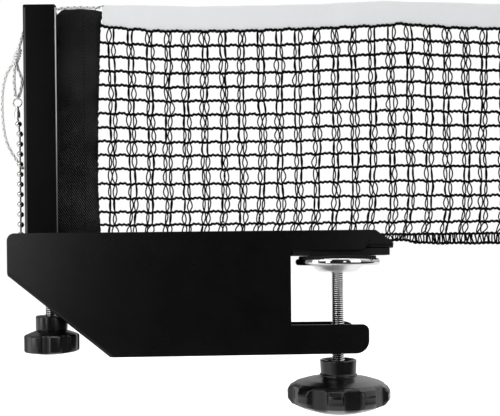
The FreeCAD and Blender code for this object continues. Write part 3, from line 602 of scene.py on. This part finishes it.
TAPE_FOOT = [(-115, 141.2), (-92, 139.2), (-82, 138.0), (-55, 137.6), (-24, 137.6), (6, 138.4),
             (55, 139.7), (69, 140.9), (84, 139.6), (104, 138.1), (129, 137.2)]
ROW_TOP = [(-114, 140.2), (-68, 137.7), (-6, 137.7), (33, 139.2), (74, 140.7), (96, 138.6),
           (130, 137.4)]
HEM_FOOT = [(-118, 7.2), (-36, 7.2), (-31, 8.6), (58, 8.6), (70, 9.2), (79, 7.3), (95, 6.9),
            (131, 6.7)]
TAPE_TOP = [(-114, 154.8), (-97, 154.5), (-55, 153.4), (-18, 153.5), (6, 153.9), (61, 155.4),
            (87, 154.5), (128, 153.0)]


def sleeve_edge(z):
    return between([(12, -115.4), (22, -115.9), (45, -117.0), (92, -116.2), (139, -114.5),
                    (151.5, -113.2)], z)


def row_height(row, x):
    if row == 0:
        return eased(TAPE_FOOT, x)
    top = eased(ROW_TOP, x)
    return top + (HEM_TOP - top) * ROW_SHARES[row]


def lean_of(row, x):
    """How far the columns lean back towards the post near the hem."""
    strength = between([(-110, 0.3), (20, 1.0), (130, 1.1)], x)
    return -strength * between([(12, 0.0), (13, 0.4), (14, 1.5), (15, 3.3)], row)


def net_knots():
    """Where each of a column's two cords crosses each row."""
    crossings = {}
    for column in range(NET_COLUMNS + 1):
        centre = NET_FIRST + column * NET_PITCH
        drift = chance.gauss(0, 0.3)
        for row in range(len(ROW_SHARES)):
            drift = 0.7 * drift + chance.gauss(0, 0.28)
            for side in (-1, 1):
                x = centre + side * 1.4 + drift + chance.gauss(0, 0.16) + lean_of(row, centre)
                crossings[column, side, row] = x
    return crossings


def column_cord(crossings, column, side):
    """Two thin strands that open into an eye between one row and the next."""
    strands = ([], [])
    last = len(ROW_SHARES) - 1
    for row in range(last):
        start_x, end_x = crossings[column, side, row], crossings[column, side, row + 1]
        start = Vector((start_x, NET_PLANE, row_height(row, start_x)))
        end = Vector((end_x, NET_PLANE, row_height(row + 1, end_x)))
        wide = chance.choice((0.25, 0.4, 0.7, 0.95, 1.2, 1.45)) * (1.4 if row == last - 1 else 1)
        sway = chance.gauss(0.1 * side, 0.35)
        peak = chance.uniform(0.75, 1.35)
        for number, points in enumerate(strands):
            for k in range(7 if row == last - 1 else 6):
                t = k / 6
                bulge = math.sin(math.pi * t**peak)
                cross = 1 if number else -1
                aside = bulge * (sway + cross * wide)
                deep = cross * 0.2 * math.cos(math.pi * t)
                points.append(start.lerp(end, t) + Vector((aside, deep, 0)))
    return joined(*(tube(points, 0.43, 5) for points in strands))


def row_cord(row, start, end, depth, thick):
    """A thick cord that waves along a row and dips where the columns hang from it."""
    points, radii, x = [], [], start
    phase = chance.uniform(0, TURN)
    while x < end:
        share = (x - NET_FIRST) / NET_PITCH * TURN
        z = row_height(row, x) + 0.32 * math.sin(4 * share + phase) - 0.3 * math.cos(share)
        z += 0.12 * math.sin(1.7 * share + 2 * phase)
        points.append(Vector((x, depth + 0.12 * math.sin(2 * share + phase), z)))
        radii.append(thick * (1 + 0.16 * math.sin(8 * share + 3 * phase)))
        x += 0.7
    return tube(points, radii, 6)


def make_mesh_net():
    crossings = net_knots()
    strands = [
        column_cord(crossings, column, side)
        for column in range(NET_COLUMNS + 1) for side in (-1, 1)
    ]
    for row in range(len(ROW_SHARES) - 1):
        start = sleeve_edge(row_height(row, -115)) - 0.3
        depth = NET_PLANE - 1.35 if row == 0 else NET_PLANE
        strands.append(row_cord(row, start, NET_END, depth, 0.84))
    shape = joined(*strands)
    net = piece("net_cords", shape, "post", YARN, ("net_mesh",))
    make_hem()


def make_hem():
    """Crocheted edge: two wavy cords with close rungs between them."""
    start, end, rung_top = -117.8, NET_END, 12.5
    edges = []
    for middle, radius, phase in ((HEM_TOP - 0.3, 0.82, 0.4), (None, 0.86, 2.0)):
        points, x = [], start
        while x < end:
            z = eased(HEM_FOOT, x) if middle is None else middle
            z += 0.3 * math.sin(TURN * x / 2.8 + phase) + 0.15 * math.sin(x / 3.1)
            points.append(Vector((x, NET_PLANE, z)))
            x += 0.55
        edges.append(tube(points, radius, 6))
    x = start + 0.5
    while x < end:
        lean = chance.choice((-1.3, -0.9, -0.3, 0, 0.3, 0.9, 1.3))
        bow = chance.gauss(0, 0.25)
        drop = rung_top - eased(HEM_FOOT, x)
        points = []
        for k in range(6):
            t = k / 5
            shift = lean * (t - 0.5) + bow * math.sin(math.pi * t)
            depth = NET_PLANE + 0.35 * math.cos(math.pi * t) * chance.choice((-1, 1))
            points.append(Vector((x + shift, depth, rung_top - drop * t)))
        edges.append(tube(points, chance.uniform(0.4, 0.58), 5))
        x += chance.uniform(1.0, 1.7)
    shape = joined(*edges)
    return piece("net_hem_crochet", shape, "post", YARN, ("net_hem",))


def band_side(x, foot, top, half, sway):
    """One side of a folded band's cloth: up the front, over the top and down the back."""
    middle, straight = NET_PLANE + sway, top - foot - half
    side = [(x, middle - half, foot + straight * k / 8) for k in range(9)]
    for k in range(1, 6):
        angle = math.pi * k / 6
        side.append((x, middle - half * math.cos(angle), top - half + half * math.sin(angle)))
    return side + [(x, middle + half, top - half - straight * k / 8) for k in range(9)]


def band_section(x, foot, top, half, sway):
    """A band of cloth folded at its top, open below."""
    inner = band_side(x, foot, top - CLOTH_THICK, half - CLOTH_THICK, sway)
    return band_side(x, foot, top, half, sway) + inner[::-1]


def make_tape():
    rows, x, half = [], -113.3, 0.95
    while x < NET_END + 0.01:
        foot = eased(TAPE_FOOT, x) + 0.14 * math.sin(TURN * x / 3.7) + 0.1 * math.sin(x)
        top = eased(TAPE_TOP, x) + 0.07 * math.sin(x / 4.1)
        sway = 0.12 * math.sin(x / 11) + 0.08 * math.sin(x / 3.3)
        rows.append(band_section(x, foot, top, half, sway))
        x += 0.6
    tape = piece("net_tape_woven", closed(rows), "post", TAPE, ("net_tape",))


SLEEVE_TOP = [(-147, 148.0), (-141, 148.2), (-139.6, 150.6), (-137, 152.1), (-128, 152.2),
              (-120, 151.7), (-113.8, 150.8)]
SLEEVE_REACH = 29.9
POCKET_RADIUS = 3.0
POCKET_END = 3.2
BAND_WIDE = 26.2


def sleeve_half(t):
    """Half the sleeve's thickness at a share of its flat band."""
    return 1.15 - 0.35 * math.sin(math.pi * min(1, 2.2 * t))


def sleeve_ripple(x, z):
    return 0.22 * math.sin(z / 9 + x / 4) + 0.12 * math.sin(z / 3.1 - x / 2.2)


def sleeve_section(inset):
    """Round the rod to the front, out along the front and home along the back."""
    radius, steps = POCKET_RADIUS - inset, 14
    pocket = []
    for k in range(11):
        angle = math.radians(35 + 29 * k)
        pocket.append((ROD_X + radius * math.cos(angle), NET_PLANE + radius * math.sin(angle)))
    band = [(ROD_X + POCKET_END + k / steps * BAND_WIDE, sleeve_half(k / steps) - inset)
            for k in range(1, steps)]
    front = [(x, NET_PLANE - half) for x, half in band]
    back = [(x, NET_PLANE + half) for x, half in reversed(band)]
    return pocket + front + [(ROD_X + SLEEVE_REACH - inset, NET_PLANE)] + back


def sleeve_side(inset):
    """One side of the sleeve's cloth, level by level, drawn in by a distance."""
    rows, levels, fixed = [], 71, 2.99
    section = sleeve_section(inset)
    for level in range(levels):
        share = level / (levels - 1)
        row = []
        for x, y in section:
            high = eased(SLEEVE_TOP, x)
            z = SLEEVE_FOOT + (high - SLEEVE_FOOT) * share
            reach = (x - ROD_X) / SLEEVE_REACH
            edge = sleeve_edge(z) + 0.25 * math.sin(TURN * z / 4.3) + 0.15 * math.sin(z * 1.9)
            if reach > 0.1:
                x = ROD_X + fixed + (reach - 0.1) / 0.9 * (edge - ROD_X - fixed)
            row.append((x, y + sleeve_ripple(x, z) * max(0.0, min(1.0, reach * 1.4)), z))
        rows.append(row)
    return rows


def make_sleeve():
    """Twill sleeve: a pocket round the rod and a band that the mesh is sewn to."""
    rows = sleeve_side(0) + sleeve_side(CLOTH_THICK)[::-1]
    shape = sheet_of(rows, wrap_rows=True, wrap_columns=True)
    sleeve = piece("net_sleeve_twill", shape, "post", TWILL, ("net_sleeve",))


def sleeve_face(x, z):
    """Depth of the sleeve's front, with its ripples."""
    half = sleeve_half((x - ROD_X - POCKET_END) / BAND_WIDE)
    return NET_PLANE - half + sleeve_ripple(x, z) * min(1.0, (x - ROD_X) / SLEEVE_REACH * 1.4)


def make_stitches():
    """Two seams down the sleeve, slanted stitches along its edge and a loose thread."""
    threads = []
    for seam in (-133.2, -124.8):
        places = [(seam + 0.12 * math.sin(z / 6), z) for z in range(17, 151, 2)]
        threads.append([Vector((x, sleeve_face(x, z), z)) for x, z in places])
    for i in range(15):
        z = 19 + 8.9 * i + chance.uniform(-0.7, 0.7)
        places = [(-124.6 + 1.5 * k, z + 0.95 * k) for k in range(5)]
        threads.append([Vector((x, sleeve_face(x, z) - 0.02, z)) for x, z in places])
    loose = [(-117.5, 151.3), (-116.6, 152.6), (-115.0, 153.4), (-112.2, 153.9)]
    threads.append([Vector((x, NET_PLANE - 1.3, z)) for x, z in loose])
    shape = joined(*(tube(points, 0.2, 5) for points in threads))
    piece("sleeve_stitches", shape, "post", YARN)


def make_far_sleeve():
    """A plain sleeve that closes the net where the photograph ends."""
    foot, top, half, wide = 7.3, 153.4, 1.4, 26
    rows = [band_section(NET_END + k, foot, top, half, 0.1 * math.sin((NET_END + k) / 3))
            for k in range(wide + 1)]
    far = piece("far_sleeve_twill", closed(rows), "post", TWILL, ("far_sleeve",))


# metal and plastic pieces

BEADS = 14
BEAD_FIRST = 2.4
BEAD_PITCH = 6.22
BEAD_RADIUS = 2.0
BEAD_ASIDE = 0.7
BELL_ASIDE = 1.4
RING_HEIGHT = 96.45
RING_RADIUS = 2.6


def make_chain():
    """Beads on their links up to the bell, and the ring in the bell's eye."""
    half_round = [(math.sin(math.pi * k / 12), math.cos(math.pi * k / 12)) for k in range(13)]
    beads = []
    for i in range(BEADS):
        z = BEAD_FIRST + BEAD_PITCH * i
        ball = [(BEAD_RADIUS * out, z - BEAD_RADIUS * down) for out, down in half_round]
        aside = BEAD_ASIDE if i == BEADS - 1 else 0
        beads.append(turned(ball, (CHAIN_X - aside, 0), 20))
    piece("ball_chain_beads", joined(*beads), "post", NICKEL, ("ball_chain",))
    wire = [(0, BEAD_FIRST), (0, 40.0), (0, 77.1), (-BEAD_ASIDE, 83.3), (-BELL_ASIDE, 88.5)]
    links = tube([Vector((CHAIN_X + x, 0, z)) for x, z in wire], 0.5, 10)
    piece("ball_chain_links", links, "post", LINK)
    top = CHAIN_X - BELL_ASIDE
    bell = turned([(0, 87.0), (1.75, 87.0, 0.3), (1.75, 90.2, 0.9), (1.1, 92.4, 0.5), (0, 92.6)],
                  (top, 0), 24)
    tab = turned([(0, 92.2), (0.95, 92.4, 0.3), (1.05, 93.6, 0.4), (0.8, 94.2, 0.3), (0, 94.3)],
                 (top, 0), 16)
    piece("bell_cap", joined(bell, tab), "post", SATIN, ("bell_coupling",))
    circle = []
    for k in range(41):
        aside = RING_RADIUS * math.sin(TURN * k / 40)
        down = RING_RADIUS * math.cos(TURN * k / 40)
        circle.append(Vector((top + aside, 0, RING_HEIGHT - down)))
    piece("cord_ring_wire", tube(circle, 0.5, 10), "post", NICKEL, ("cord_ring",))


def make_clamp_screw():
    shaft = threaded(SCREW_X, CLAMP_CREST, CLAMP_ROOT, -10.4, -86)
    neck = turned([(0, -3.8), (3.5, -3.8), (5, -4.8), (5, -6.3), (4, -7.3), (3.0, -7.3),
                   (3.0, -9.9), (3.7, -10.2), (3.2, -11.2)], (SCREW_X, 0), 32)
    piece("clamp_screw_thread", joined(shaft, neck), "clamp_screw", THREAD,
          ("clamp_screw",))


def make_height_screw():
    shaft = threaded(HEIGHT_X, HEIGHT_CREST, HEIGHT_ROOT, -5.3, -53)
    neck = turned([(3.2, -6.4), (3.8, -5.15), (2.5, -5.1), (2.5, 10.2), (2.0, 10.7), (0, 10.7)],
                  (HEIGHT_X, 0), 32)
    piece("height_screw_thread", joined(shaft, neck), "height_screw", HEIGHT_THREAD,
          ("height_screw",))


def make_disc():
    disc = turned(
        [(0, -1.9), (25.75, -1.9, 1.6), (25.75, -6.1, 2.2), (22.6, -6.1, 0.7), (22.6, -3.4, 1.2),
         (0, -3.4)],
        (SCREW_X, 0), 144)
    piece("pressure_disc_rim", disc, "foot", CHROME, ("pressure_disc",))
    cup = turned(
        [(18, -3.4), (15.4, -6.3, 2), (11.6, -9.6, 4), (7.6, -10.1, 3), (3.25, -10.2, 0.5),
         (3.25, -9.2), (7.6, -9.1, 3), (11, -8.7, 3), (14.6, -5.4, 2), (16.8, -3.4)],
        (SCREW_X, 0), 96)
    piece("swivel_cup_dished", cup, "foot", SATIN, ("swivel_cup",))


def make_clamp_knob():
    profile = [
        (3.95, -72.95), (7.55, -72.95), (7.55, -65.2), (9.2, -65.2, 0.4), (9.6, -64.2, 0.3),
        (10.7, -64.0, 0.5), (11.3, -64.4, 0.6), (10.9, -72.3, 0.4), (11.6, -73.2, 0.3),
        (11.5, -74.0, 0.6), (14, -74.7, 3), (20.2, -75.9, 8), (26.4, -77.7, 6), (29.9, -79.6, 2),
        (31.6, -82.2, 1.6), (31.6, -83.2), (31.75, -83.4), (31.6, -83.6), (31.6, -87.2, 2),
        (29.4, -90.2, 1), (23.0, -93.0, 8), (14, -95.8, 16), (0, -96.6),
    ]
    limit = finger_hollows(31.6, 3.0, 7.0, 9, math.radians(9.8 - 90), 0.6)
    shape = turned(profile, (SCREW_X, 0), 432, limit, 6)
    piece("clamp_knob_moulded", shape, "clamp_screw", PLASTIC, ("clamp_knob",))


def make_height_knob():
    profile = [
        (3.05, -50), (3.05, -35.1), (9.0, -35.1, 0.6), (9.6, -35.9, 0.6), (9.6, -43.6, 0.4),
        (9.0, -44.0, 0.2), (10.0, -44.4, 0.4), (15.6, -46.6, 0.8), (16.6, -47.5, 0.6),
        (16.6, -56.4, 0.6), (15.8, -57.2, 0.8), (8, -58.6, 6), (0, -59.0),
    ]
    limit = finger_hollows(16.6, 1.2, 3.4, 8, 0, 0.5)
    shape = turned(profile, (HEIGHT_X, 0), 256, limit, 6)
    piece("height_knob_moulded", shape, "height_screw", PLASTIC, ("height_knob",))


def make_sheet_metal():
    for node, width, look in (
        ("front_plate", 0.3, POWDER), ("rear_plate", 0.3, POWDER), ("jaw_channel", 0.25, POWDER),
        # The arm channel and edge stop take the painted-shade coat.
        ("arm_channel", 0.3, PAINTED_SHADE_COAT), ("edge_stop", 0.2, PAINTED_SHADE_COAT),
        ("post_guide_outer", 0.3, POWDER), ("post_guide_inner", 0.3, POWDER),
    ):
        softened(f"{node}_coated", node, "bracket", look, width)
    # The post takes the darker, duller coat: painted shade.
    softened("post_coated", "post", "post", POST_COAT, 0.3)
    softened("chain_catch_plated", "chain_catch", "post", STEEL, 0.2)
    heights = (-3.0, 50.0, 100.0, 151.4)
    # A thin strip on the post's front edge carries the painted highlight.
    glint_section = [(-0.65, -10.74), (-0.3, -10.74), (-0.02, -10.62)]
    strip = [[(POST_EDGE + x, y, z) for x, y in glint_section] for z in heights]
    piece("post_edge_painted_glint", sheet_of(strip), "post", PAINTED_EDGE_GLINT)
    # A strip just over the post's rounded corner carries the painted sheen.
    middle_x, middle_y = POST_EDGE - POST_WIDE + POST_BEND, POST_FRONT + POST_BEND
    out = POST_BEND + 0.03
    angles = [math.radians(10 * k) for k in range(10)]
    corner = [(middle_x - out * math.sin(a), middle_y - out * math.cos(a)) for a in angles]
    round_edge = [[(x, y, z) for x, y in corner] for z in heights]
    piece("post_corner_painted_sheen", sheet_of(round_edge), "post", PAINTED_CORNER_SHEEN)


def dress_nodes():
    """Materials for the nodes that stay as they are."""
    looks = {
        "jaw_pad": RUBBER, "disc_pad": RUBBER, "clamp_nut": STEEL, "height_block": STEEL,
        "post_foot": STEEL, "rod_hanger": STEEL, "net_rod": STEEL, "height_clip": STEEL,
        "clamp_insert": STEEL,
    }
    for node, look in looks.items():
        mesh = cad[node].data
        mesh.materials.clear()
        mesh.materials.append(look)


# surroundings

def make_floor():
    """A pale floor. Glossy pieces see it bright below them, and dark in front and to the right."""
    made, tree, surface, place = start_material("floor_look", 0.9)
    surface.inputs["Base Color"].default_value = (0.93, 0.93, 0.93, 1)
    path = add_node(tree, "ShaderNodeLightPath")
    glow = add_node(tree, "ShaderNodeEmission")
    glow.inputs["Color"].default_value = (1, 1, 1, 1)
    tree.links.new(combine(tree, "MULTIPLY", path.outputs["Is Camera Ray"], 0.55),
                   glow.inputs["Strength"])
    both = add_node(tree, "ShaderNodeAddShader")
    tree.links.new(surface.outputs["BSDF"], both.inputs[0])
    tree.links.new(glow.outputs["Emission"], both.inputs[1])
    parts = add_node(tree, "ShaderNodeSeparateXYZ")
    tree.links.new(place, parts.inputs["Vector"])
    aside = combine(tree, "MULTIPLY", parts.outputs["X"], 0.5)
    across = combine(tree, "SUBTRACT", parts.outputs["Y"], aside)
    close = spread(tree, across, 0.03, 1.0, -0.26, -0.095)
    mirrored = add_node(tree, "ShaderNodeEmission")
    tree.links.new(close, mirrored.inputs["Strength"])
    pick = mixed(tree, path.outputs["Is Glossy Ray"], both.outputs["Shader"],
                 mirrored.outputs["Emission"])
    tree.links.new(pick, tree.nodes["Material Output"].inputs["Surface"])
    mesh = bpy.data.meshes.new("floor")
    mesh.from_pydata([(x, y, FLOOR * MM) for x, y in ((-9, -9), (9, -9), (9, 9), (-9, 9))], [],
                     [(0, 1, 2, 3)])
    mesh.materials.append(made)
    floor = bpy.data.objects.new("floor", mesh)
    bpy.context.scene.collection.objects.link(floor)


def make_world():
    world = bpy.data.worlds.new("studio")
    bpy.context.scene.world = world
    world.use_nodes = True
    tree = world.node_tree
    tree.nodes.clear()
    place = add_node(tree, "ShaderNodeTexCoord").outputs["Generated"]
    parts = add_node(tree, "ShaderNodeSeparateXYZ")
    tree.links.new(place, parts.inputs["Vector"])
    level = spread(tree, parts.outputs["Z"], 0.0, 1.0, start=-1.0)
    stops = [(0.0, grey(0.62)), (0.44, grey(0.55)), (0.5, grey(0.3)), (0.56, grey(0.6)),
             (0.75, grey(0.95)), (1.0, grey(1.0))]
    behind = spread(tree, parts.outputs["Y"], 0.05, 0.8, -0.85, -0.1)
    right = spread(tree, parts.outputs["X"], 0.5, 1.5, -0.3, 0.3)
    studio = add_node(tree, "ShaderNodeBackground")
    tree.links.new(colour_between(tree, level, stops), studio.inputs["Color"])
    tree.links.new(combine(tree, "MULTIPLY", behind, right), studio.inputs["Strength"])
    seen = add_node(tree, "ShaderNodeBackground", Strength=1.0)
    seen.inputs["Color"].default_value = (1, 1, 1, 1)
    path = add_node(tree, "ShaderNodeLightPath")
    pick = mixed(tree, path.outputs["Is Camera Ray"], studio.outputs["Background"],
                 seen.outputs["Background"])
    output = add_node(tree, "ShaderNodeOutputWorld")
    tree.links.new(pick, output.inputs["Surface"])


def make_lamp(name, place, aim, wide, high, power):
    light = bpy.data.lights.new(name, "AREA")
    light.shape = "RECTANGLE"
    light.size, light.size_y = wide, high
    light.energy = power
    made = bpy.data.objects.new(name, light)
    made.location = place
    made.rotation_euler = (Vector(aim) - Vector(place)).to_track_quat("-Z", "Y").to_euler()
    bpy.context.scene.collection.objects.link(made)


make_camera()
make_cords()
make_mesh_net()
make_tape()
make_sleeve()
make_stitches()
make_far_sleeve()
make_chain()
make_sheet_metal()
make_clamp_screw()
make_height_screw()
make_disc()
make_clamp_knob()
make_height_knob()
dress_nodes()
make_floor()
make_world()
make_lamp("key", (-0.9, -1.1, 0.7), (-0.03, 0, 0.03), 0.9, 0.9, 8)
make_lamp("fill", (0.9, -0.9, 0.35), (0, 0, 0.03), 0.7, 0.9, 3.4)
make_lamp("left", (-1.1, -0.45, 0.1), (-0.05, 0, 0), 0.35, 1.0, 3)
make_lamp("glint", (-0.58, -1.0, 0.03), (-0.15, 0, 0), 0.2, 0.7, 1.5)
make_lamp("nose", (0.26, -1.0, 0.02), (0.05, 0, 0), 0.12, 0.1, 0.09)
make_lamp("top", (0.1, 0.2, 1.2), (0, 0, 0), 0.8, 0.8, 6)
bpy.context.scene.view_settings.view_transform = "Standard"
